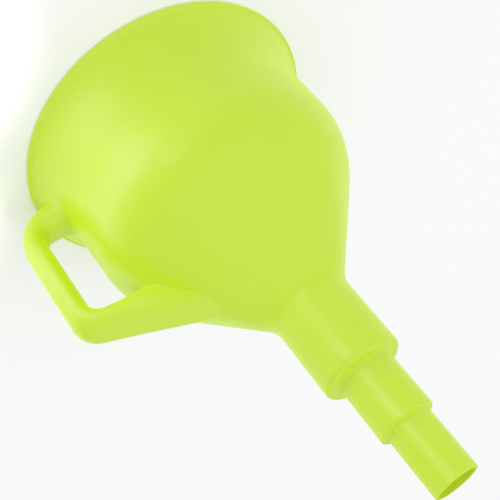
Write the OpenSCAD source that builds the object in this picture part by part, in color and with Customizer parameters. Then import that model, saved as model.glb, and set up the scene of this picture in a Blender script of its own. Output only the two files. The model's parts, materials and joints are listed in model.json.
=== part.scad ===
// One-piece blow-moulded filling funnel with a tubular side handle and a stepped spout.
//
// Frame: millimetres. The funnel stands on its rim, mouth down, as it is stored. The
// origin is the centre of the rim's plane, +Z runs up the axis from the mouth to the
// spout's tip, and +X points from the axis to the handle. The handle's middle plane,
// which is also the mould's parting plane, is y = 0.
//
// Every curve of the wall is an arc that is tangent to the stretch next to it, so each
// ring of the shell starts exactly where the ring before it ends.

/* [Mouth] */
// Outer diameter of the rim
rim_d = 200; // [180:1:220]
// Radius of the rounded bead that stiffens the rim
bead_r = 1.6; // [1.2:0.1:2]
// Height at which the flare runs out into the bowl's wall
flare_h = 43.4; // [38:0.2:48]

/* [Bowl] */
// Outer radius of the bowl's wall, at the height wall_gauge_z
wall_r = 85.9; // [82:0.1:88]
// Height at which wall_r holds
wall_gauge_z = 50; // [45:1:55]
// Draft of the bowl's wall, in degrees; the grip leans by as much
wall_draft = 1.8; // [1:0.1:3]
// Height at which the wall turns into the rounded shoulder
shoulder_z = 66.9; // [62:0.1:72]
// Outer radius of the shoulder's curve
shoulder_r = 54.1; // [48:0.1:58]
// Half-angle of the cone, in degrees
cone_angle = 39.5; // [37:0.5:42]
// Thickness of the bowl's and the cone's wall
wall_t = 2.2; // [1.8:0.1:2.6]

/* [Spout] */
// Outer radius of the curve from the cone to the spout
throat_r = 21.6; // [18:0.1:24]
// Outer diameter of the upper tube
upper_d = 48.6; // [46:0.2:52]
// Outer diameter of the middle tube
middle_d = 33.4; // [32:0.2:36]
// Outer diameter of the tip tube
tip_d = 26.8; // [24:0.2:28]
// Height of the step between the upper and the middle tube
upper_step_z = 209.9; // [204:0.1:216]
// Height of the step between the middle and the tip tube
lower_step_z = 244.9; // [240:0.1:250]
// Height of the spout's end
tip_z = 281.1; // [276:0.1:290]
// Rounding of the upper step's outer edge
upper_step_r = 4.2; // [3:0.1:5]
// Rounding of the lower step's outer edge
lower_step_r = 1.8; // [1.4:0.1:2.8]
// Fillet between the upper step and the middle tube
upper_step_fillet = 2.4; // [1:0.1:3]
// Fillet between the lower step and the tip tube
lower_step_fillet = 1.2; // [0.6:0.1:1.4]
// Thickness of the spout's wall
spout_t = 2; // [1.6:0.1:2.4]

/* [Handle] */
// Distance of the grip's outer face from the axis, at the height grip_gauge_z
grip_x = 118.6; // [114:0.2:122]
// Height at which grip_x holds
grip_gauge_z = 70; // [60:1:80]
// Width of the grip, across the handle's opening
grip_w = 14.6; // [13:0.2:17]
// Thickness of the handle, across its middle plane
handle_t = 24; // [20:0.5:28]
// Height of the upper arm's face towards the rim
arm_low_z = 10.7; // [9:0.1:13]
// Height of the upper arm's face towards the finger opening
arm_high_z = 31; // [29:0.5:33]
// Radius of the upper bend, outside
upper_bend_r = 28.5; // [24:0.5:30]
// Radius of the upper bend, at the finger opening
upper_bend_inner_r = 5; // [3:0.5:8]
// Height of the fin's face towards the finger opening
fin_low_z = 98; // [94:0.5:102]
// Height at which the fin's sloping edge would meet x = 80
fin_edge_z = 121.9; // [118:0.1:126]
// Slope of the fin's edge below the horizontal, in degrees
fin_slope = 20; // [17:0.5:24]
// Radius of the lower bend, outside
lower_bend_r = 16.2; // [13:0.2:18]
// Radius of the lower bend, at the finger opening
lower_bend_inner_r = 8.7; // [6:0.1:11]
// Thickness of the handle's wall
handle_wall_t = 2.2; // [1.8:0.1:2.6]

/* [Hidden] */

$fn = 96;
lime = [0.77, 0.89, 0.27];
arc_steps = 12;       // straight stretches in each arc of the shell
bend_steps = 9;       // stretches along each bend of the handle
arm_steps = 4;        // stretches of the upper bend that belong to the upper arm
corner_steps = 5;     // stretches round each rounded edge of the handle
lip_h = 1.6;          // height of the spout's chamfered end
lip_cut = 0.6;        // chamfer of the spout's end, outside
gauge_x = 80;         // where fin_edge_z holds
inside = 6;           // how far the upper arm reaches into the bowl before it is trimmed
fin_inside = 40;      // how far the fin's edge runs in from the cone's foot before it is trimmed

rim_r = rim_d / 2;
upper_r = upper_d / 2;
middle_r = middle_d / 2;
tip_r = tip_d / 2;

// Points on a circle about c, from angle a to angle b
function arc(c, r, a, b, steps = arc_steps) =
    [for (i = [0 : steps]) c + r * dir(a + (b - a) * i / steps)];
function dir(a) = [cos(a), sin(a)];
function reversed(list) = [for (i = [len(list) - 1 : -1 : 0]) list[i]];

// Outer radius of the bowl's straight wall at height z
function wall_at(z) = wall_r - tan(wall_draft) * (z - wall_gauge_z);

// Flare: an arc tangent to the wall at flare_h that reaches the rim's radius at z = 0
flare_end = [wall_at(flare_h), flare_h];
flare_dx = flare_end.x - rim_r;
flare_r = -(flare_dx ^ 2 + flare_h ^ 2)
          / (2 * (flare_dx * cos(wall_draft) + flare_h * sin(wall_draft)));
flare_c = flare_end + flare_r * dir(wall_draft);
bead_top = 2 * bead_r;
flare_a = 180 + asin((flare_c.y - bead_top) / flare_r);

// Shoulder: an arc tangent to the wall and to the cone
shoulder_c = [wall_at(shoulder_z), shoulder_z] - shoulder_r * dir(wall_draft);
cone_start = shoulder_c + shoulder_r * dir(cone_angle);

// Throat: an arc tangent to the cone and to the upper tube
throat_cx = upper_r + throat_r;
cone_end_x = throat_cx - throat_r * cos(cone_angle);
cone_end_z = cone_start.y + (cone_start.x - cone_end_x) / tan(cone_angle);
throat_c = [throat_cx, cone_end_z + throat_r * sin(cone_angle)];

// Outer corners of the handle's plan, each an arc tangent to both of its edges
grip_out_x = function(z) grip_x - tan(wall_draft) * (z - grip_gauge_z);
upper_c_z = arm_low_z + upper_bend_r;
upper_c = [grip_out_x(upper_c_z) - upper_bend_r / cos(wall_draft), upper_c_z];
upper_inner_c_z = arm_high_z + upper_bend_inner_r;
upper_inner_c = [grip_out_x(upper_inner_c_z) - (grip_w + upper_bend_inner_r) / cos(wall_draft),
                 upper_inner_c_z];
fin_a = 90 - fin_slope;
fin_edge = function(x) fin_edge_z - tan(fin_slope) * (x - gauge_x);
lower_c_x = (grip_x - lower_bend_r / cos(wall_draft)
             - tan(wall_draft) * (fin_edge(0) - lower_bend_r / cos(fin_slope) - grip_gauge_z))
            / (1 - tan(wall_draft) * tan(fin_slope));
lower_c = [lower_c_x, fin_edge(lower_c_x) - lower_bend_r / cos(fin_slope)];
lower_inner_c_z = fin_low_z - lower_bend_inner_r;
lower_inner_c = [grip_out_x(lower_inner_c_z) - (grip_w + lower_bend_inner_r) / cos(wall_draft),
                 lower_inner_c_z];

// Each station of the handle is a pair of points of its plan: outer edge, opening's edge
arm_root_x = flare_end.x - inside;
upper_curve = stations(arc(upper_c, upper_bend_r, -90, wall_draft, bend_steps),
                       arc(upper_inner_c, upper_bend_inner_r, -90, wall_draft, bend_steps));
lower_bend = stations(arc(lower_c, lower_bend_r, wall_draft, fin_a, bend_steps),
                      arc(lower_inner_c, lower_bend_inner_r, wall_draft, 90, bend_steps));
upper_arm = concat([[[arm_root_x, arm_low_z], [arm_root_x, arm_high_z]]],
                   [for (i = [0 : arm_steps]) upper_curve[i]]);
upper_bend = [for (i = [arm_steps : bend_steps]) upper_curve[i]];
grip = [upper_curve[bend_steps], lower_bend[0]];
fin_root_x = cone_start.x - fin_inside;
fin_root = [[fin_root_x, fin_edge(fin_root_x)], [cone_start.x - 2 * inside, fin_low_z]];
fin = [lower_bend[bend_steps], fin_root];

function stations(outer, inner) = [for (i = [0 : len(outer) - 1]) [outer[i], inner[i]]];

// Rounded rectangle as points: w across the opening, t across the middle plane
function section(w, t, r) = [
    for (q = [0 : 3], i = [0 : corner_steps])
        let (a = 90 * q + 90 * i / corner_steps,
             sx = (q == 0 || q == 3) ? 1 : -1,
             sy = q < 2 ? 1 : -1)
        [sx * (w / 2 - r), sy * (t / 2 - r)] + r * dir(a)
];

// One ring of the handle's skin at a station, moved inwards by inset
function ring(s, inset) =
    let (across = s[0] - s[1], w = norm(across), e = across / w, m = (s[0] + s[1]) / 2)
    [for (p = section(w - 2 * inset, handle_t - 2 * inset, grip_w / 2 - inset))
        [m.x + e.x * p.x, p.y, m.y + e.y * p.x]];

// Faces between two rings of n points whose numbers start at a and b
function band(a, b, n) = [
    for (i = [0 : n - 1])
        let (j = (i + 1) % n)
        each [[a + i, b + i, b + j], [a + i, b + j, a + j]]
];

// Solid bar through the given stations
module bar(list, inset) {
    n = 4 * (corner_steps + 1);
    last = (len(list) - 1) * n;
    polyhedron(
        points = [for (s = list) each ring(s, inset)],
        faces = concat(
            [for (k = [0 : len(list) - 2]) each band(k * n, (k + 1) * n, n)],
            [[for (i = [0 : n - 1]) i]],
            [[for (i = [n - 1 : -1 : 0]) last + i]]));
}

// Hollow tube through the given stations, open at both ends
module tube(list) {
    n = 4 * (corner_steps + 1);
    inner = len(list) * n;
    last = (len(list) - 1) * n;
    polyhedron(
        points = concat([for (s = list) each ring(s, 0)],
                        [for (s = list) each ring(s, handle_wall_t)]),
        faces = concat(
            [for (k = [0 : len(list) - 2]) each band(k * n, (k + 1) * n, n)],
            [for (k = [0 : len(list) - 2]) each band(inner + (k + 1) * n, inner + k * n, n)],
            band(inner, 0, n),
            band(last, inner + last, n)));
}

// Ring of the shell between an outer outline and an inner one, both from mouth to spout
module shell(outer, inner) {
    rotate_extrude() polygon(concat(outer, reversed(inner)));
}

// Everything inside the bowl's outer surface, which trims the handle's roots
module bowl_block() {
    rotate_extrude()
        polygon(concat(
            [[0, 0], [rim_r, 0]],
            arc(flare_c, flare_r, flare_a, 180 + wall_draft),
            arc(shoulder_c, shoulder_r, wall_draft, cone_angle),
            [[cone_end_x, cone_end_z], [0, cone_end_z]]));
}

module rim_bead() {
    color(lime)
        shell(
            concat(arc([rim_r - bead_r, bead_r], bead_r, -90, 90),
                   [flare_c + flare_r * dir(flare_a)]),
            [[flare_c.x - sqrt((flare_r + wall_t) ^ 2 - flare_c.y ^ 2), 0],
             flare_c + (flare_r + wall_t) * dir(flare_a)]);
}

module mouth_flare() {
    color(lime)
        difference() {
            shell(arc(flare_c, flare_r, flare_a, 180 + wall_draft),
                  arc(flare_c, flare_r + wall_t, flare_a, 180 + wall_draft));
            bar(upper_arm, handle_wall_t);
        }
}

module bowl_wall() {
    start = flare_end;
    end = shoulder_c + shoulder_r * dir(wall_draft);
    step_in = wall_t * dir(wall_draft);
    color(lime) shell([start, end], [start - step_in, end - step_in]);
}

module bowl_shoulder() {
    color(lime)
        shell(arc(shoulder_c, shoulder_r, wall_draft, cone_angle),
              arc(shoulder_c, shoulder_r - wall_t, wall_draft, cone_angle));
}

module cone() {
    end = [cone_end_x, cone_end_z];
    step_in = wall_t * dir(cone_angle);
    color(lime)
        difference() {
            shell([cone_start, end], [cone_start - step_in, end - step_in]);
            bar(fin, handle_wall_t);
        }
}

module throat() {
    inner_end = [upper_r - spout_t, throat_c.y];
    inner_r = throat_r + wall_t;
    color(lime)
        shell(arc(throat_c, throat_r, 180 + cone_angle, 180),
              concat(arc(throat_c, inner_r, 180 + cone_angle, 180 + cone_angle / 6, 10),
                     [inner_end]));
}

// Straight tube of the spout
module spout_tube(r, z0, z1) {
    color(lime)
        translate([0, 0, z0])
            difference() {
                cylinder(r = r, h = z1 - z0);
                translate([0, 0, -1]) cylinder(r = r - spout_t, h = z1 - z0 + 2);
            }
}

// Rounded step at height z from a tube of radius r to the next one of radius next_r, with a
// fillet up to the next tube
module spout_step(r, next_r, z, round_r, fillet) {
    inner_round = max(round_r - spout_t, 0.4);
    color(lime)
        shell(
            concat(arc([r - round_r, z - round_r], round_r, 0, 90, 8),
                   arc([next_r + fillet, z + fillet], fillet, 270, 180, 6)),
            concat([[r - spout_t, z - round_r]],
                   arc([r - spout_t - inner_round, z - spout_t - inner_round],
                       inner_round, 0, 90, 4),
                   [[next_r - spout_t, z - spout_t], [next_r - spout_t, z + fillet]]));
}

module spout_upper_tube() spout_tube(upper_r, throat_c.y, upper_step_z - upper_step_r);

module spout_upper_step()
    spout_step(upper_r, middle_r, upper_step_z, upper_step_r, upper_step_fillet);

module spout_middle_tube()
    spout_tube(middle_r, upper_step_z + upper_step_fillet, lower_step_z - lower_step_r);

module spout_lower_step()
    spout_step(middle_r, tip_r, lower_step_z, lower_step_r, lower_step_fillet);

module spout_tip_tube()
    spout_tube(tip_r, lower_step_z + lower_step_fillet, tip_z - lip_h);

module spout_tip_lip() {
    bore_r = tip_r - spout_t;
    color(lime)
        shell([[tip_r, tip_z - lip_h], [tip_r, tip_z - lip_cut], [tip_r - lip_cut, tip_z]],
              [[bore_r, tip_z - lip_h], [bore_r, tip_z]]);
}

module handle_upper_arm() {
    color(lime)
        difference() {
            tube(upper_arm);
            bowl_block();
        }
}

module handle_upper_bend() color(lime) tube(upper_bend);
module handle_grip() color(lime) tube(grip);
module handle_lower_bend() color(lime) tube(lower_bend);

module handle_fin() {
    color(lime)
        difference() {
            tube(fin);
            bowl_block();
        }
}

rim_bead();
mouth_flare();
bowl_wall();
bowl_shoulder();
cone();
throat();
spout_upper_tube();
spout_upper_step();
spout_middle_tube();
spout_lower_step();
spout_tip_tube();
spout_tip_lip();
handle_upper_arm();
handle_upper_bend();
handle_grip();
handle_lower_bend();
handle_fin();
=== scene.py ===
"""Looks of a one-piece moulded filling funnel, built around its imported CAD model.

Metres, in the CAD frame: the funnel stands on its rim, +Z runs up its axis to the spout's tip and
+X points to the handle. The shell is drawn as a section of arcs and lines, each sample with its
own normal, and turned about the axis. The handle is a rounded section swept along two edge curves,
with a fillet at each root, and its hollow opens into the shell. Both follow the CAD part's shape, at
a much finer pitch.
"""

import json
import math

import bmesh
import bpy
import numpy as np
from mathutils import Matrix, Vector


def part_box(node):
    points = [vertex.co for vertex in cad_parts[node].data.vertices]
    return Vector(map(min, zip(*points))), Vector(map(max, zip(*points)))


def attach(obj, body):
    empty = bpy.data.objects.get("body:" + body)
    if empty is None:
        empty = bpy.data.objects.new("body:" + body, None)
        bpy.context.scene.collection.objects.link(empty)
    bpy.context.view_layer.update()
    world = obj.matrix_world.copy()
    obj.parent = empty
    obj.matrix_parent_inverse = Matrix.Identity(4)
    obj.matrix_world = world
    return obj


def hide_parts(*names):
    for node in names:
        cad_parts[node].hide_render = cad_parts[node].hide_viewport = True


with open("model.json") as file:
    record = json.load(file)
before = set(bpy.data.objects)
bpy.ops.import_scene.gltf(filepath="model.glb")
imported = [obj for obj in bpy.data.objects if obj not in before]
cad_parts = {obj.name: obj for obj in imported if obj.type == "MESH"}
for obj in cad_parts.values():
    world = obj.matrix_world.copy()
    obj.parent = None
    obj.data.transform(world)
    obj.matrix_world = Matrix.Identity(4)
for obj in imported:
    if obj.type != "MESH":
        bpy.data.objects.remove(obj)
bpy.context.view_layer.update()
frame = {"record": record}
mounts = {m["name"]: m for m in frame["record"]["mounts"]}

MM = 0.001
QUARTER = math.pi / 2
WELD = 1e-7                    # points nearer than this are the same
TINY = 1e-12                   # keeps a length of 0 from being divided by
ON_AXIS = 1e-9                 # a sine or cosine below this is taken as 0

# ---------------------------------------------------------------- sizes that the frame gives
RIM_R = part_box("rim_bead")[1].x
BEAD_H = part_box("rim_bead")[1].z
UPPER_R = mounts["spout_upper"]["dims"]["r_mm"] * MM
MIDDLE_R = mounts["spout_middle"]["dims"]["r_mm"] * MM
TIP_R = mounts["spout_tip"]["dims"]["r_mm"] * MM
SPOUT_T = TIP_R - mounts["tip_bore"]["dims"]["r_mm"] * MM
TIP_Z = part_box("spout_tip_lip")[1].z
LIP_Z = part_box("spout_tip_lip")[0].z
HANDLE_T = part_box("handle_grip")[1].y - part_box("handle_grip")[0].y
FLARE_END_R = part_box("bowl_wall")[1].x
UPPER_STEP_START_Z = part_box("spout_upper_tube")[1].z
UPPER_STEP_END_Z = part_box("spout_upper_step")[1].z
LOWER_STEP_START_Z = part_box("spout_middle_tube")[1].z
LOWER_STEP_END_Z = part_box("spout_lower_step")[1].z

# ---------------------------------------------------------------- sizes of the moulding's section
WALL_T = 2.2 * MM
WALL_DRAFT = math.radians(1.8)
CONE_ANGLE = math.radians(39.5)
SHOULDER_Z = 66.9 * MM
SHOULDER_R = 54.1 * MM
THROAT_R = 21.6 * MM
UPPER_STEP_FILLET = 2.4 * MM
LOWER_STEP_FILLET = 1.2 * MM
STEP_INNER_ROUND = 0.4 * MM    # least rounding of a step's inner corner
STEP_LIP_SHARE = 0.9           # the inner fillet's share of a step's flat, at most
STEP_SHORT = 0.01 * MM         # a step's inside gets no line shorter than this at its end
BEAD_FILLET = 2.6 * MM         # between the rim's bead and the flare
LIP_ROUND = 0.6 * MM           # rounding of the spout's cut end
LIP_INNER_ROUND = 0.4 * MM
RIM_INNER_ROUND = 0.5 * MM
RIM_INNER_TURN = QUARTER - 0.55        # how far that rounding turns before the flare begins

# ---------------------------------------------------------------- sizes of the handle
GRIP_X = 118.6 * MM            # the grip's outer face at GRIP_GAUGE_Z
GRIP_GAUGE_Z = 70 * MM
GRIP_W = 14.6 * MM
ARM_LOW_Z = 10.7 * MM
ARM_HIGH_Z = 31 * MM
UPPER_BEND_R = 28.5 * MM
UPPER_INNER_R = 5 * MM
FIN_LOW_Z = 98 * MM
FIN_EDGE_Z = 121.9 * MM        # the fin's sloping edge at FIN_GAUGE_X
FIN_GAUGE_X = 80 * MM
FIN_SLOPE = math.radians(20)
LOWER_BEND_R = 16.2 * MM
LOWER_INNER_R = 8.7 * MM
HANDLE_WALL_T = 2.2 * MM
ARM_SHARE = 4 / 9              # share of the upper bend that belongs to the upper arm
SECTION_POWER = 2.15           # how square the handle's rounded edges are
EDGE_ACROSS = 11 * MM          # reach of those edges across the opening
EDGE_ALONG = 11.5 * MM         # and across the middle plane
ARM_FILLET = 6 * MM
FIN_FILLET = 1.4 * MM
SUNK = 0.03 * MM               # how far a fillet's foot dips under the shell
ROOT_DEPTH = 0.8 * MM          # how deep a root reaches into the shell
ARM_START = 6 * MM             # how far inside the flare's end the arm's edges start
FIN_OUTER_END = 40 * MM        # how far inside the cone's start the fin's edges end
FIN_INNER_END = 12 * MM

# ---------------------------------------------------------------- mesh pitch
ARC_STEP = math.radians(3)     # on the large arcs, and then on ever smaller ones
FILLET_STEP = math.radians(6)
BEAD_STEP = math.radians(9)
STEP_LIP_STEP = math.radians(10)
EDGE_STEP = math.radians(15)
RIM_INNER_STEP = math.radians(18)
LINE_STEP = 3 * MM
RING_POINTS = 80
ARM_ROWS = 12
ARM_BEND_ROWS = 18
UPPER_BEND_ROWS = 20
GRIP_ROWS = 24
LOWER_BEND_ROWS = 28
FIN_ROWS = 60
FILLET_ROWS = 9

# ---------------------------------------------------------------- the moulding's own unevenness
SEAM_H = 0.10 * MM             # parting line round the moulding, on y = 0
SEAM_W = 0.30 * MM
SEAM_OFFSETS = [0.15 * MM, 0.30 * MM, 0.50 * MM, 0.80 * MM]    # of the mesh lines next to it
SEAM_SHARES = [0.2, 0.45, 0.7]         # mesh lines from the last offset to SEAM_SIDE
SEAM_SIDE = math.radians(6)
SEAM_MIN_R = 10 * MM           # the offsets are angles, and don't widen further in than this
EVEN_COLUMNS = 113             # mesh lines from SEAM_SIDE to the same place at the other side
FOOT_H = 3 * MM                # the standing face is flat, and the unevenness grows over this height
WAVES = [                      # height, then waves per metre along x, y and z, and phase
    (0.045 * MM, (13, 7, 9), 0.4),
    (0.035 * MM, (-8, 15, 12), 2.1),
    (0.020 * MM, (21, -17, 26), 4.0),
]


def unevenness(points):
    """Height of the surface over its ideal shape, which is 0 at most, and that height's gradient."""
    height = np.zeros(points.shape[:-1])
    slope = np.zeros(points.shape)
    for size, rate, phase in WAVES:
        k = 2 * math.pi * np.array(rate, float)
        angle = points @ k + phase
        height += size * (np.sin(angle) - 1)
        slope += size * np.cos(angle)[..., None] * k
    y = points[..., 1]
    ridge = SEAM_H * np.exp(-(y / SEAM_W) ** 2)
    height += ridge - SEAM_H
    slope[..., 1] += ridge * -2 * y / SEAM_W ** 2
    t = np.clip(points[..., 2] / FOOT_H, 0, 1)
    share = t * t * (3 - 2 * t)
    slope *= share[..., None]
    slope[..., 2] += height * 6 * t * (1 - t) / FOOT_H
    return height * share, slope


def unit_rows(v):
    """Each row of v at length 1."""
    return v / np.maximum(np.linalg.norm(v, axis=-1, keepdims=True), TINY)


def dots(a, b):
    """Dot product of each row of a and b, kept as a row of one."""
    return (a * b).sum(-1)[..., None]


def roughened(points, normals):
    """Points and normals moved from the ideal shape to the moulded one."""
    height, slope = unevenness(points)
    along = slope - dots(slope, normals) * normals
    return points + height[..., None] * normals, unit_rows(normals - along)


# ---------------------------------------------------------------- section of the shell
def direction(a):
    return np.array([math.cos(a), math.sin(a)])


def arc(centre, radius, a, b, facing=1, step=ARC_STEP):
    """Samples (r, z, normal r, normal z) on an arc; facing 1 points away from the centre, -1 to it."""
    count = max(3, math.ceil(abs(b - a) / step))
    angles = np.linspace(a, b, count + 1)
    rays = np.c_[np.cos(angles), np.sin(angles)]
    return np.c_[centre + radius * rays, facing * rays]


def line(p, q, facing=1):
    """Samples on a line from p to q; facing 1 points to the right of the way from p to q."""
    p, q = np.array(p, float), np.array(q, float)
    length = np.linalg.norm(q - p)
    count = max(1, math.ceil(length / LINE_STEP))
    t = np.linspace(0, 1, count + 1)[:, None]
    along = (q - p) / length
    normal = facing * np.array([along[1], -along[0]])
    return np.c_[p + (q - p) * t, np.tile(normal, (count + 1, 1))]


def joined(*stretches):
    """Stretches end to end. A sample that two of them share is kept once."""
    rows = [stretches[0]]
    for s in stretches[1:]:
        same = np.linalg.norm(s[0, :2] - rows[-1][-1, :2]) < WELD
        rows.append(s[1:] if same else s)
    return np.vstack(rows)


flare_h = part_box("bowl_wall")[0].z + WALL_T * math.sin(WALL_DRAFT)


def wall_at(z):
    """Radius of the drafted wall at height z."""
    return FLARE_END_R - math.tan(WALL_DRAFT) * (z - flare_h)


flare_end = np.array([FLARE_END_R, flare_h])
flare_dx = FLARE_END_R - RIM_R
flare_r = -(flare_dx ** 2 + flare_h ** 2) / (
    2 * (flare_dx * math.cos(WALL_DRAFT) + flare_h * math.sin(WALL_DRAFT)))
flare_c = flare_end + flare_r * direction(WALL_DRAFT)
flare_b = math.pi + WALL_DRAFT
bead_r = BEAD_H / 2
bead_c = np.array([RIM_R - bead_r, bead_r])


def angle_of(v):
    """Angle of v, from 0 to a full turn."""
    return math.atan2(v[1], v[0]) % (2 * math.pi)


def bead_fillet_centre():
    """Centre of the arc that touches the bead from above and the flare from outside."""
    to_bead, to_flare = bead_r + BEAD_FILLET, flare_r - BEAD_FILLET
    gap = flare_c - bead_c
    length = np.linalg.norm(gap)
    along = (length ** 2 + to_bead ** 2 - to_flare ** 2) / (2 * length)
    across = math.sqrt(to_bead ** 2 - along ** 2)
    e = gap / length
    return bead_c + along * e + across * np.array([-e[1], e[0]])


bead_fillet_c = bead_fillet_centre()
flare_a = angle_of(bead_fillet_c - flare_c)

shoulder_c = np.array([wall_at(SHOULDER_Z), SHOULDER_Z]) - SHOULDER_R * direction(WALL_DRAFT)
shoulder_start = shoulder_c + SHOULDER_R * direction(WALL_DRAFT)
cone_start = shoulder_c + SHOULDER_R * direction(CONE_ANGLE)
throat_cx = UPPER_R + THROAT_R
cone_end_r = throat_cx - THROAT_R * math.cos(CONE_ANGLE)
cone_end_z = cone_start[1] + (cone_start[0] - cone_end_r) / math.tan(CONE_ANGLE)
cone_end = np.array([cone_end_r, cone_end_z])
throat_c = np.array([throat_cx, cone_end_z + THROAT_R * math.sin(CONE_ANGLE)])
throat_top_z = throat_c[1]


def bead_section():
    """Outside from the middle of the standing face to the flare, and inside likewise."""
    inner_r = flare_r + WALL_T
    foot_a = math.pi + math.asin((flare_c[1] - RIM_INNER_ROUND) / inner_r)
    foot_r = flare_c[0] + inner_r * math.cos(foot_a)
    middle = [(foot_r + bead_c[0]) / 2, 0]
    touch = angle_of(bead_fillet_c - bead_c)
    outer = joined(line(middle, [bead_c[0], 0]),
                   arc(bead_c, bead_r, -QUARTER, touch, step=BEAD_STEP),
                   arc(bead_fillet_c, BEAD_FILLET, touch + math.pi, flare_a, -1, FILLET_STEP))
    round_c = [foot_r + RIM_INNER_ROUND, RIM_INNER_ROUND]
    inner = joined(line(middle, [round_c[0], 0], -1),
                   arc(round_c, RIM_INNER_ROUND, -QUARTER, -QUARTER - RIM_INNER_TURN,
                       step=RIM_INNER_STEP),
                   arc(flare_c, inner_r, foot_a, flare_a))
    return outer, inner


def step_section(r, next_r, start_z, end_z, fillet):
    """A rounded step from a tube of radius r, with a fillet up to a tube of radius next_r."""
    z = end_z - fillet
    round_r = z - start_z
    outer = joined(arc([r - round_r, start_z], round_r, 0, QUARTER, step=FILLET_STEP),
                   line([r - round_r, z], [next_r + fillet, z]),
                   arc([next_r + fillet, end_z], fillet, -QUARTER, -2 * QUARTER, -1, BEAD_STEP))
    bore, next_bore = r - SPOUT_T, next_r - SPOUT_T
    inner_round = max(round_r - SPOUT_T, STEP_INNER_ROUND)
    flat_z = z - SPOUT_T
    lip_r = min(fillet + SPOUT_T, (bore - inner_round - next_bore) * STEP_LIP_SHARE)
    inner = joined(arc([bore - inner_round, flat_z - inner_round], inner_round, 0, QUARTER, -1,
                       EDGE_STEP),
                   arc([next_bore + lip_r, flat_z + lip_r], lip_r, -QUARTER, -2 * QUARTER,
                       step=STEP_LIP_STEP))
    if end_z - inner[-1, 1] > STEP_SHORT:
        inner = joined(inner, line(inner[-1, :2], [next_bore, end_z], -1))
    return outer, inner


def tube_section(r, z0, z1, bore_z1):
    """A tube whose outside ends at z1 and whose bore ends at bore_z1."""
    bore = r - SPOUT_T
    return line([r, z0], [r, z1]), line([bore, z0], [bore, bore_z1], -1)


def lip_section():
    """The spout's cut end, with both of its edges rounded."""
    bore = TIP_R - SPOUT_T
    outer = joined(line([TIP_R, LIP_Z], [TIP_R, TIP_Z - LIP_ROUND]),
                   arc([TIP_R - LIP_ROUND, TIP_Z - LIP_ROUND], LIP_ROUND, 0, QUARTER,
                       step=EDGE_STEP),
                   line([TIP_R - LIP_ROUND, TIP_Z], [bore + LIP_INNER_ROUND, TIP_Z]))
    inner = joined(line([bore, LIP_Z], [bore, TIP_Z - LIP_INNER_ROUND], -1),
                   arc([bore + LIP_INNER_ROUND, TIP_Z - LIP_INNER_ROUND], LIP_INNER_ROUND,
                       2 * QUARTER, QUARTER, step=EDGE_STEP))
    return outer, inner


def straight_section(p, q, a):
    """A straight stretch of the bowl from p to q, whose normal is at angle a."""
    step_in = WALL_T * direction(a)
    return line(p, q), line(p - step_in, q - step_in, -1)


upper_step = step_section(UPPER_R, MIDDLE_R, UPPER_STEP_START_Z, UPPER_STEP_END_Z, UPPER_STEP_FILLET)
lower_step = step_section(MIDDLE_R, TIP_R, LOWER_STEP_START_Z, LOWER_STEP_END_Z, LOWER_STEP_FILLET)

SECTIONS = {
    "rim_bead": bead_section(),
    "mouth_flare": (arc(flare_c, flare_r, flare_a, flare_b, -1),
                    arc(flare_c, flare_r + WALL_T, flare_a, flare_b)),
    "bowl_wall": straight_section(flare_end, shoulder_start, WALL_DRAFT),
    "bowl_shoulder": (arc(shoulder_c, SHOULDER_R, WALL_DRAFT, CONE_ANGLE),
                      arc(shoulder_c, SHOULDER_R - WALL_T, WALL_DRAFT, CONE_ANGLE, -1)),
    "cone": straight_section(cone_start, cone_end, CONE_ANGLE),
    "throat": (arc(throat_c, THROAT_R, math.pi + CONE_ANGLE, math.pi, -1),
               arc(throat_c, THROAT_R + WALL_T, math.pi + CONE_ANGLE, math.pi)),
    "spout_upper_tube": tube_section(UPPER_R, throat_top_z, UPPER_STEP_START_Z, upper_step[1][0, 1]),
    "spout_upper_step": upper_step,
    "spout_middle_tube": tube_section(MIDDLE_R, UPPER_STEP_END_Z, LOWER_STEP_START_Z,
                                      lower_step[1][0, 1]),
    "spout_lower_step": lower_step,
    "spout_tip_tube": tube_section(TIP_R, LOWER_STEP_END_Z, LIP_Z, LIP_Z),
    "spout_tip_lip": lip_section(),
}


# ---------------------------------------------------------------- meshes
def columns(radii):
    """Angles about the axis for each row. They crowd about y = 0, where the parting line runs."""
    rows = len(radii)
    even = np.linspace(SEAM_SIDE, math.pi - SEAM_SIDE, EVEN_COLUMNS)
    near = np.arcsin(np.array(SEAM_OFFSETS)[None] / radii[:, None])
    last = near[:, -1:]
    between = last + (SEAM_SIDE - last) * np.array(SEAM_SHARES)[None]
    side = np.c_[np.zeros(rows), near, between]
    half = np.c_[side, np.tile(even, (rows, 1)), math.pi - side[:, ::-1]]
    return np.c_[half, 2 * math.pi - half[:, -2:0:-1]]


def turned(section):
    """Points and normals of a section turned about the axis, each as rows x columns x 3."""
    r, z, nr, nz = section.T[..., None]
    angles = columns(np.maximum(r[:, 0], SEAM_MIN_R))
    c, s = np.cos(angles), np.sin(angles)
    points = np.stack([r * c, r * s, z + 0 * c], 2)
    normals = np.stack([nr * c, nr * s, nz + 0 * c], 2)
    return points, unit_rows(normals)


def new_object(name, vertices, faces, loop_normals=None):
    """A smooth-shaded mesh object; loop_normals gives a normal for each corner of each face."""
    mesh = bpy.data.meshes.new(name)
    mesh.from_pydata([tuple(v) for v in vertices], [], faces)
    mesh.validate()
    mesh.shade_smooth()
    if loop_normals is not None:
        mesh.normals_split_custom_set([tuple(n) for n in loop_normals])
    obj = bpy.data.objects.new(name, mesh)
    bpy.context.scene.collection.objects.link(obj)
    return obj


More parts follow.
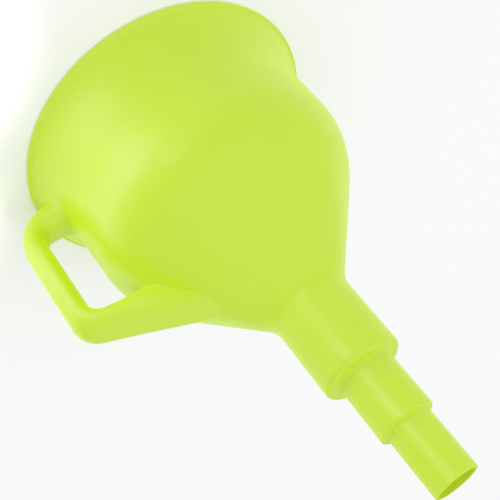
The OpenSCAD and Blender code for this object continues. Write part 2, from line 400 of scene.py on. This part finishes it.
def wall_rows(outer, inner, outer_n, inner_n):
    """Points and normals of the rows round a wall, out along outer and back along inner, and the
    rows that a flat cap follows. There is none where two end rows are the same points."""
    weld_start = np.allclose(outer[0], inner[0], atol=WELD)
    weld_end = np.allclose(outer[-1], inner[-1], atol=WELD)
    kept = slice(1 if weld_end else 0, -1 if weld_start else None)
    points = np.concatenate([outer, inner[::-1][kept]])
    normals = np.concatenate([outer_n, inner_n[::-1][kept]])
    caps = [] if weld_end else [len(outer) - 1]
    caps += [] if weld_start else [len(points) - 1]
    return points, normals, caps


def flat_normal(a, b, c, d):
    across = np.cross(c - a, d - b)
    return across / max(np.linalg.norm(across), TINY)


def ring_solid(name, outer, inner, outer_n, inner_n):
    """A closed tube between two grids of the same number of columns."""
    points, normals, caps = wall_rows(outer, inner, outer_n, inner_n)
    count, width = points.shape[:2]
    faces, loops = [], []
    for i in range(count):
        j = (i + 1) % count
        for k in range(width):
            m = (k + 1) % width
            quad = [(i, k), (i, m), (j, m), (j, k)]
            faces.append([a * width + b for a, b in quad])
            flat = i in caps
            loops += [flat_normal(*[points[q] for q in quad])] * 4 if flat else [normals[q] for q in quad]
    return new_object(name, points.reshape(-1, 3), faces, loops)


def shell_piece(name):
    """One part of the shell. Only its outside is uneven."""
    outer, inner = SECTIONS[name]
    outer_p, outer_n = roughened(*turned(outer))
    inner_p, inner_n = turned(inner)
    if np.allclose(outer[0, :2], inner[0, :2]):
        inner_p[0] = outer_p[0]
    if np.allclose(outer[-1, :2], inner[-1, :2]):
        inner_p[-1] = outer_p[-1]
    return ring_solid(name, outer_p, inner_p, outer_n, inner_n)


# ---------------------------------------------------------------- handle
def grip_face(z):
    """How far out the grip's outer face lies at height z."""
    return GRIP_X - math.tan(WALL_DRAFT) * (z - GRIP_GAUGE_Z)


def corner_in_grip(z, across):
    """Centre of an arc that touches a grip's face, which lies `across` outside the centre."""
    return np.array([grip_face(z) - across / math.cos(WALL_DRAFT), z])


def fin_edge(x):
    """Height of the fin's sloping edge at x."""
    return FIN_EDGE_Z - math.tan(FIN_SLOPE) * (x - FIN_GAUGE_X)


def lower_corner():
    """Centre of the outer arc between the grip's face and the fin's sloping edge."""
    drop = LOWER_BEND_R / math.cos(FIN_SLOPE)
    lean = math.tan(WALL_DRAFT)
    x = GRIP_X - LOWER_BEND_R / math.cos(WALL_DRAFT) - lean * (fin_edge(0) - drop - GRIP_GAUGE_Z)
    x /= 1 - lean * math.tan(FIN_SLOPE)
    return np.array([x, fin_edge(x) - drop])


def bend(centre, radius, a, b, count):
    """An edge round a corner, as count + 1 points."""
    angles = np.linspace(a, b, count + 1)
    return centre + radius * np.c_[np.cos(angles), np.sin(angles)]


def straight(p, q, count):
    """A straight edge from p to q, as count + 1 points."""
    return np.linspace(p, q, count + 1)


def arm_edge(z, corner, radius, split):
    """The arm's level stretch at height z, and its share of the bend round corner."""
    level = straight([FLARE_END_R - ARM_START, z], [corner[0], z], ARM_ROWS)
    return np.vstack([level[:-1], bend(corner, radius, -QUARTER, split, ARM_BEND_ROWS)])


def handle_stations():
    """Name of each length of the handle, with its outer edge and its edge at the opening."""
    upper_c = corner_in_grip(ARM_LOW_Z + UPPER_BEND_R, UPPER_BEND_R)
    upper_inner_c = corner_in_grip(ARM_HIGH_Z + UPPER_INNER_R, GRIP_W + UPPER_INNER_R)
    lower_inner_c = corner_in_grip(FIN_LOW_Z - LOWER_INNER_R, GRIP_W + LOWER_INNER_R)
    split = -QUARTER + (WALL_DRAFT + QUARTER) * ARM_SHARE
    upper_o = bend(upper_c, UPPER_BEND_R, split, WALL_DRAFT, UPPER_BEND_ROWS)
    upper_i = bend(upper_inner_c, UPPER_INNER_R, split, WALL_DRAFT, UPPER_BEND_ROWS)
    lower_o = bend(lower_corner(), LOWER_BEND_R, WALL_DRAFT, QUARTER - FIN_SLOPE, LOWER_BEND_ROWS)
    lower_i = bend(lower_inner_c, LOWER_INNER_R, WALL_DRAFT, QUARTER, LOWER_BEND_ROWS)
    fin_x = cone_start[0] - FIN_OUTER_END
    return {
        "handle_upper_arm": (arm_edge(ARM_LOW_Z, upper_c, UPPER_BEND_R, split),
                             arm_edge(ARM_HIGH_Z, upper_inner_c, UPPER_INNER_R, split)),
        "handle_upper_bend": (upper_o, upper_i),
        "handle_grip": (straight(upper_o[-1], lower_o[0], GRIP_ROWS),
                        straight(upper_i[-1], lower_i[0], GRIP_ROWS)),
        "handle_lower_bend": (lower_o, lower_i),
        "handle_fin": (straight(lower_o[-1], [fin_x, fin_edge(fin_x)], FIN_ROWS),
                       straight(lower_i[-1], [cone_start[0] - FIN_INNER_END, FIN_LOW_Z], FIN_ROWS)),
    }


def section_points(width, inset):
    """Rounded section: across the opening, and across the middle plane, for one station."""
    a = width / 2 - inset
    b = HANDLE_T / 2 - inset
    p = np.minimum(a, EDGE_ACROSS - inset)
    q = EDGE_ALONG - inset
    t = np.linspace(0, 2 * math.pi, RING_POINTS, endpoint=False)
    c, s = np.cos(t), np.sin(t)
    power = 2 / SECTION_POWER
    across = np.sign(c) * ((a - p)[:, None] + p[:, None] * np.abs(c) ** power)
    along = np.sign(s) * ((b - q) + q * np.abs(s) ** power)
    across = np.where(np.abs(c) < ON_AXIS, 0, across)
    along = np.where(np.abs(s) < ON_AXIS, 0, along)
    return across, np.tile(along, (len(width), 1))


def swept(outer, inner, inset=0.0):
    """Grid of the handle's skin: stations x ring points x 3."""
    gap = outer - inner
    width = np.linalg.norm(gap, axis=1)
    e = gap / width[:, None]
    middle = (outer + inner) / 2
    across, along = section_points(width, inset)
    x = middle[:, :1] + e[:, :1] * across
    z = middle[:, 1:] + e[:, 1:] * across
    return np.stack([x, along, z], 2)


def grid_normals(grid, sign=1):
    """Normals of a grid that is closed across its columns and open along its rows."""
    along = np.gradient(grid, axis=0, edge_order=2)
    around = np.roll(grid, -1, 1) - np.roll(grid, 1, 1)
    return unit_rows(sign * np.cross(around, along))


def at_rows(grid, s):
    """Values of grid at a fractional row for each column: s is rows x columns."""
    s = np.clip(s, 0, len(grid) - 1)
    low = np.minimum(np.floor(s).astype(int), len(grid) - 2)
    t = (s - low)[..., None]
    k = np.arange(grid.shape[1])[None]
    return grid[low, k] * (1 - t) + grid[low + 1, k] * t


BOWL_PARTS = ["mouth_flare", "bowl_wall", "bowl_shoulder", "cone", "throat"]
BOWL_OUTSIDE = joined(*[SECTIONS[part][0] for part in BOWL_PARTS])
BOWL_INSIDE = joined(*[SECTIONS[part][1] for part in BOWL_PARTS])


def bowl_radius(z, outline=BOWL_OUTSIDE):
    """Radius of that outline at height z."""
    return np.interp(z, outline[:, 1], outline[:, 0])


def bowl_normal(points, outline=BOWL_OUTSIDE):
    """The shell's normal over points on that outline's surface."""
    z = points[..., 2]
    nr = np.interp(z, outline[:, 1], outline[:, 2])
    nz = np.interp(z, outline[:, 1], outline[:, 3])
    r = np.linalg.norm(points[..., :2], axis=-1)
    return unit_rows(np.stack([nr * points[..., 0] / r, nr * points[..., 1] / r, nz], -1))


def on_bowl(points, sunk):
    """Points moved level onto the shell's outer surface, and then `sunk` under it."""
    r = np.linalg.norm(points[..., :2], axis=-1)
    scale = bowl_radius(points[..., 2]) / r
    moved = points * np.stack([scale, scale, np.ones_like(scale)], -1)
    return moved - sunk * bowl_normal(moved)


def crossing(grid):
    """Fractional row where each column of a grid leaves the bowl. Row 0 lies inside it."""
    gap = np.linalg.norm(grid[..., :2], axis=2) - bowl_radius(grid[..., 2])
    outside = gap > 0
    last_inside = len(grid) - 1 - np.argmax(~outside[::-1], axis=0)
    k = np.arange(grid.shape[1])
    g0, g1 = gap[last_inside, k], gap[np.minimum(last_inside + 1, len(grid) - 1), k]
    return last_inside + g0 / (g0 - g1)


def root_rows(grid, normals, fillet, keep_rows, sign):
    """The skin from its fillet's foot on the bowl out to the last row of grid."""
    s = crossing(grid)
    meet = at_rows(grid, s[None])[0]
    face = unit_rows(at_rows(normals, s[None])[0])
    speed = np.linalg.norm(at_rows(grid, s[None] + 1)[0] - meet, axis=1)
    start_s = s + fillet / speed
    start = at_rows(grid, start_s[None])[0]
    n = bowl_normal(meet)
    out = meet + fillet * unit_rows(face - dots(face, n) * n)
    foot = on_bowl(out, SUNK)
    t = np.linspace(0, 1, FILLET_ROWS)[:, None, None]
    blend = foot * (1 - t) ** 2 + 2 * t * (1 - t) * meet + start * t ** 2
    blend_n = grid_normals(blend, sign)
    blend_n[0] = bowl_normal(foot)
    blend_n[-1] = unit_rows(at_rows(normals, start_s[None])[0])
    rest_s = start_s + (len(grid) - 1 - start_s) * np.linspace(0, 1, keep_rows)[1:, None]
    rows = np.vstack([on_bowl(out, ROOT_DEPTH)[None], blend, at_rows(grid, rest_s)])
    rows_n = np.vstack([blend_n[:1], blend_n, unit_rows(at_rows(normals, rest_s))])
    return rows, rows_n


def rooted(outside, outside_n, inside, inside_n, fillet, sign):
    """The skins of a length whose first rows lie inside the bowl, cut off at the bowl."""
    keep = len(inside) // 2
    inner_s = crossing(inside)
    s = inner_s + (len(inside) - 1 - inner_s) * np.linspace(0, 1, keep)[:, None]
    outside, outside_n = root_rows(outside, outside_n, fillet, keep, sign)
    return outside, outside_n, at_rows(inside, s), unit_rows(at_rows(inside_n, s))


ROOT_FILLETS = {"handle_upper_arm": ARM_FILLET, "handle_fin": FIN_FILLET}
HOLLOW_THROUGH = {"mouth_flare": "handle_upper_arm", "cone": "handle_fin"}


def handle_piece(name, outer_edge, inner_edge):
    """One length of the handle. A fin's root is its last row, so its rows are turned round."""
    way = -1 if name == "handle_fin" else 1
    outside = swept(outer_edge, inner_edge)
    inside = swept(outer_edge, inner_edge, HANDLE_WALL_T)
    skins = [outside, grid_normals(outside), inside, grid_normals(inside, -1)]
    skins = [grid[::way] for grid in skins]
    if name in ROOT_FILLETS:
        skins = rooted(*skins, ROOT_FILLETS[name], way)
    skins = [*roughened(*skins[:2]), *skins[2:]]
    outside, outside_n, inside, inside_n = [grid[::way] for grid in skins]
    return ring_solid(name, outside, inside, outside_n, inside_n)


def hollow_of(outer_edge, inner_edge):
    """The handle's hollow along one length of it, as a closed mesh."""
    grid = swept(outer_edge, inner_edge, HANDLE_WALL_T)
    rows, width = grid.shape[:2]
    faces = [list(range(width)), list(range((rows - 1) * width, rows * width))]
    for i in range(rows - 1):
        for k in range(width):
            m = (k + 1) % width
            faces.append([i * width + k, i * width + m, (i + 1) * width + m, (i + 1) * width + k])
    obj = new_object("hollow", grid.reshape(-1, 3), faces)
    solid = bmesh.new()
    solid.from_mesh(obj.data)
    bmesh.ops.recalc_face_normals(solid, faces=solid.faces)
    solid.to_mesh(obj.data)
    solid.free()
    return obj


SKIN_DEPTH = WALL_T / 4        # a face this near the skin, and leaning less than this, belongs to it
SKIN_LEAN = math.radians(30)


def shell_normals(mesh):
    """The shell's own normal at each corner of a cut piece, and the face's on the cut's walls."""
    corner = np.array([v for face in mesh.polygons for v in face.vertices])
    flat = np.array([face.normal for face in mesh.polygons for v in face.vertices])
    points = np.array([v.co for v in mesh.vertices])[corner]
    r = np.linalg.norm(points[:, :2], axis=1)
    normals = flat
    outside = roughened(points, bowl_normal(points))[1]
    inside = bowl_normal(points, BOWL_INSIDE)
    for outline, smooth in ((BOWL_OUTSIDE, outside), (BOWL_INSIDE, inside)):
        near = np.abs(r - bowl_radius(points[:, 2], outline)) < SKIN_DEPTH
        along = dots(flat, smooth)[:, 0] > math.cos(SKIN_LEAN)
        normals = np.where((near & along)[:, None], smooth, normals)
    return normals


def cut_hollow(piece, hollow):
    """Opens the shell where the handle's hollow runs into it."""
    cut = piece.modifiers.new("opening", "BOOLEAN")
    cut.operation = "DIFFERENCE"
    cut.solver = "EXACT"
    cut.object = hollow
    graph = bpy.context.evaluated_depsgraph_get()
    mesh = bpy.data.meshes.new_from_object(piece.evaluated_get(graph))
    piece.modifiers.clear()
    piece.data = mesh
    mesh.shade_smooth()
    mesh.normals_split_custom_set([tuple(n) for n in shell_normals(mesh)])
    bpy.data.objects.remove(hollow)


# ---------------------------------------------------------------- materials
LIME = (0.438, 0.672, 0.011)
ROUGHNESS = 0.33
GLOSS = 0.52
IOR = 1.51
EDGE_LIME = (0.6, 0.9, 0.02)   # light that leaves the plastic near its edges, as a sheen
EDGE_SPREAD = 0.5
HOLLOW_PAINTED_LIGHT = (0.64, 0.80, 0.030)   # painted light: a lighter base colour in hollows, standing in for light that goes through the plastic and back
SHELTER_REACH = 40 * MM
SHELTER_SAMPLES = 8
SHELTER_DEEP = 0.25            # how open the deepest hollow is
SHELTER_NONE = 0.9             # and a place that counts as open
CLOUD_SCALE = 14
CLOUD_DETAIL = 2
CLOUD_SPAN = (0.3, 0.7)
CLOUD_TONES = (0.97, 1.02)
GRAIN_SCALE = 1400
GRAIN_DETAIL = 3
GRAIN_STRENGTH = 0.06
GRAIN_HEIGHT = 0.3 * MM


def set_inputs(node, **values):
    """Sets a node's inputs; an underscore stands for a space in an input's name."""
    for name, value in values.items():
        node.inputs[name.replace("_", " ")].default_value = value
    return node


def noise(tree, scale, detail):
    """Noise over the object's own coordinates."""
    place = tree.nodes.new("ShaderNodeTexCoord")
    pattern = set_inputs(tree.nodes.new("ShaderNodeTexNoise"), Scale=scale, Detail=detail)
    tree.links.new(place.outputs["Object"], pattern.inputs["Vector"])
    return pattern.outputs["Fac"]


def clouded(tree, colour):
    """The colour with faint clouds in it."""
    ramp = tree.nodes.new("ShaderNodeValToRGB")
    for element, position, tone in zip(ramp.color_ramp.elements, CLOUD_SPAN, CLOUD_TONES):
        element.position = position
        element.color = [*(c * tone for c in colour), 1]
    tree.links.new(noise(tree, CLOUD_SCALE, CLOUD_DETAIL), ramp.inputs["Fac"])
    return ramp.outputs["Color"]


def with_painted_hollow_light(tree, colour):
    """The colour where the surface is open, and a lighter colour of painted light where it is sheltered,
    in hollows.
    """
    shelter = set_inputs(tree.nodes.new("ShaderNodeAmbientOcclusion"), Distance=SHELTER_REACH)
    shelter.samples = SHELTER_SAMPLES
    share = set_inputs(tree.nodes.new("ShaderNodeMapRange"), From_Min=SHELTER_DEEP, From_Max=SHELTER_NONE)
    tree.links.new(shelter.outputs["AO"], share.inputs["Value"])
    mix = tree.nodes.new("ShaderNodeMix")
    mix.data_type = "RGBA"
    set_inputs(mix, A=[*HOLLOW_PAINTED_LIGHT, 1])
    tree.links.new(share.outputs["Result"], mix.inputs["Factor"])
    tree.links.new(colour, mix.inputs["B"])
    return mix.outputs["Result"]


def grained(tree):
    """A normal with a fine grain."""
    bump = set_inputs(tree.nodes.new("ShaderNodeBump"), Strength=GRAIN_STRENGTH, Distance=GRAIN_HEIGHT)
    tree.links.new(noise(tree, GRAIN_SCALE, GRAIN_DETAIL), bump.inputs["Height"])
    return bump.outputs["Normal"]


def plastic(name):
    """Lime polyethylene."""
    material = bpy.data.materials.new(name)
    material.use_nodes = True
    tree = material.node_tree
    shader = set_inputs(tree.nodes["Principled BSDF"], Roughness=ROUGHNESS, Specular_IOR_Level=GLOSS,
                        IOR=IOR, Sheen_Weight=1.0, Sheen_Roughness=EDGE_SPREAD,
                        Sheen_Tint=[*EDGE_LIME, 1])
    # The base colour carries painted light: it turns lighter and yellower in hollows.
    tree.links.new(with_painted_hollow_light(tree, clouded(tree, LIME)), shader.inputs["Base Color"])
    tree.links.new(grained(tree), shader.inputs["Normal"])
    return material


plastics = {slot: plastic(slot) for slot in ("body_plastic", "spout_plastic", "handle_plastic")}


def finish_piece(obj, node, slot):
    """Names the piece after its CAD node, and gives it its material, body, node and slot."""
    obj.name = node + "_skin"
    obj.data.materials.append(plastics[slot])
    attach(obj, "root")
    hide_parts(node)


lengths = handle_stations()
for section_name in SECTIONS:
    piece = shell_piece(section_name)
    if section_name in HOLLOW_THROUGH:
        cut_hollow(piece, hollow_of(*lengths[HOLLOW_THROUGH[section_name]]))
    in_spout = section_name.startswith("spout")
    finish_piece(piece, section_name, "spout_plastic" if in_spout else "body_plastic")

for length_name, edges in lengths.items():
    finish_piece(handle_piece(length_name, *edges), length_name, "handle_plastic")


# ---------------------------------------------------------------- floor, light and camera
FLOOR_HALF = 4.0
FLOOR_WHITE = (0.9, 0.9, 0.9)
FLOOR_ROUGHNESS = 0.8


def make_floor():
    corners = [(x * FLOOR_HALF, y * FLOOR_HALF, 0) for x, y in ((-1, -1), (1, -1), (1, 1), (-1, 1))]
    obj = new_object("floor", corners, [(0, 1, 2, 3)])
    material = bpy.data.materials.new("floor_paint")
    material.use_nodes = True
    set_inputs(material.node_tree.nodes["Principled BSDF"], Base_Color=[*FLOOR_WHITE, 1],
               Roughness=FLOOR_ROUGHNESS)
    obj.data.materials.append(material)


def aimed(obj, position, target, roll=0.0):
    """Puts obj at position with its -Z axis on target, turned by roll about that axis."""
    back = (Vector(position) - Vector(target)).normalized()
    level = Vector((0, 0, 1))
    up = (level - level.dot(back) * back).normalized()
    right = up.cross(back)
    turned_up = math.cos(roll) * up + math.sin(roll) * right
    turned_right = turned_up.cross(back)
    obj.matrix_world = Matrix((
        (turned_right.x, turned_up.x, back.x, position[0]),
        (turned_right.y, turned_up.y, back.y, position[1]),
        (turned_right.z, turned_up.z, back.z, position[2]),
        (0, 0, 0, 1)))


def around(target, azimuth, elevation, distance):
    """Point at that distance from target; azimuth 0 is +X and 90 is +Y."""
    a, e = math.radians(azimuth), math.radians(elevation)
    return Vector(target) + distance * Vector((math.cos(a) * math.cos(e),
                                               math.sin(a) * math.cos(e), math.sin(e)))


DOME = 0.35                    # radiance all round
DOME_SIDES = [                 # a direction, and what is added where the dome faces it
    ((0, 0, 1), 0.91),
    ((0, -1, 0), 0.22),
    ((-1, 0, 0), 0.18),
]
POOLS = [                      # name, x, y and radius, and the strength of the light on the floor
    ("bowl_pool", 0.15, -0.135, 0.09, 2.8),
    ("grip_pool", 0.2, -0.03, 0.09, 1.3),
    ("middle_pool", 0.4, -0.7, 0.25, 6.6),
    ("tip_pool", 0.43, -1.35, 0.4, 4.2),
]
POOL_LAMP_H = 1.6
POOL_LAMP_R = 0.02


def make_pool(name, x, y, radius, strength):
    """A soft-edged pool of light on the floor at (x, y), from a lamp straight above it."""
    light = bpy.data.lights.new(name, "SPOT")
    light.energy = strength * 4 * math.pi ** 2 * POOL_LAMP_H ** 2
    light.spot_size = 2 * math.atan(radius / POOL_LAMP_H)
    light.spot_blend = 1.0
    light.shadow_soft_size = POOL_LAMP_R
    obj = bpy.data.objects.new(name, light)
    obj.location = (x, y, POOL_LAMP_H)
    bpy.context.scene.collection.objects.link(obj)


def dome_side(tree, toward, amount, below):
    """The strength below, plus amount where the dome faces toward and less away from there."""
    place = tree.nodes.new("ShaderNodeTexCoord")
    facing = tree.nodes.new("ShaderNodeVectorMath")
    facing.operation = "DOT_PRODUCT"
    facing.inputs[1].default_value = toward
    tree.links.new(place.outputs["Generated"], facing.inputs[0])
    lit = tree.nodes.new("ShaderNodeMath")
    lit.operation = "MAXIMUM"
    lit.inputs[1].default_value = 0.0
    tree.links.new(facing.outputs["Value"], lit.inputs[0])
    adder = tree.nodes.new("ShaderNodeMath")
    adder.operation = "MULTIPLY_ADD"
    adder.inputs[1].default_value = amount
    tree.links.new(lit.outputs[0], adder.inputs[0])
    tree.links.new(below, adder.inputs[2])
    return adder.outputs[0]


def make_dome():
    """A white studio dome."""
    world = bpy.data.worlds.new("studio")
    world.use_nodes = True
    tree = world.node_tree
    base = tree.nodes.new("ShaderNodeValue")
    strength = base.outputs[0]
    strength.default_value = DOME
    for toward, amount in DOME_SIDES:
        strength = dome_side(tree, toward, amount, strength)
    tree.links.new(strength, tree.nodes["Background"].inputs["Strength"])
    set_inputs(tree.nodes["Background"], Color=(1, 1, 1, 1))
    bpy.context.scene.world = world


CAMERA_TARGET = (-12.4 * MM, -5.0 * MM, 112.4 * MM)
CAMERA_AZIMUTH = -68.0
CAMERA_ELEVATION = 30.6
CAMERA_DISTANCE = 444 * MM
CAMERA_ROLL = math.radians(-139.5)
CAMERA_SENSOR = 36             # width, in mm as the lens
CAMERA_LENS = 53.88
CAMERA_NEAR = 10 * MM
CAMERA_SHIFT = (-0.0635, -0.0303)


def make_camera():
    camera = bpy.data.cameras.new("camera")
    camera.sensor_width = CAMERA_SENSOR
    camera.lens = CAMERA_LENS
    camera.shift_x, camera.shift_y = CAMERA_SHIFT
    camera.clip_start = CAMERA_NEAR
    obj = bpy.data.objects.new("camera", camera)
    bpy.context.scene.collection.objects.link(obj)
    aimed(obj, around(CAMERA_TARGET, CAMERA_AZIMUTH, CAMERA_ELEVATION, CAMERA_DISTANCE),
          CAMERA_TARGET, CAMERA_ROLL)
    bpy.context.scene.camera = obj


ROLL_OFF = 2.0                 # the smaller, the earlier the highlights roll off
TONE_POINTS = 10


def soften_highlights():
    """Rolls the highlights off as a camera does: x becomes (1 + ROLL_OFF) x / (x + ROLL_OFF)."""
    view = bpy.context.scene.view_settings
    view.view_transform = "Standard"
    view.use_curve_mapping = True
    tone = view.curve_mapping.curves[3]
    for i in range(1, TONE_POINTS):
        x = i / TONE_POINTS
        tone.points.new(x, (1 + ROLL_OFF) * x / (x + ROLL_OFF))
    view.curve_mapping.update()


make_floor()
make_dome()
for pool in POOLS:
    make_pool(*pool)
make_camera()
soften_highlights()
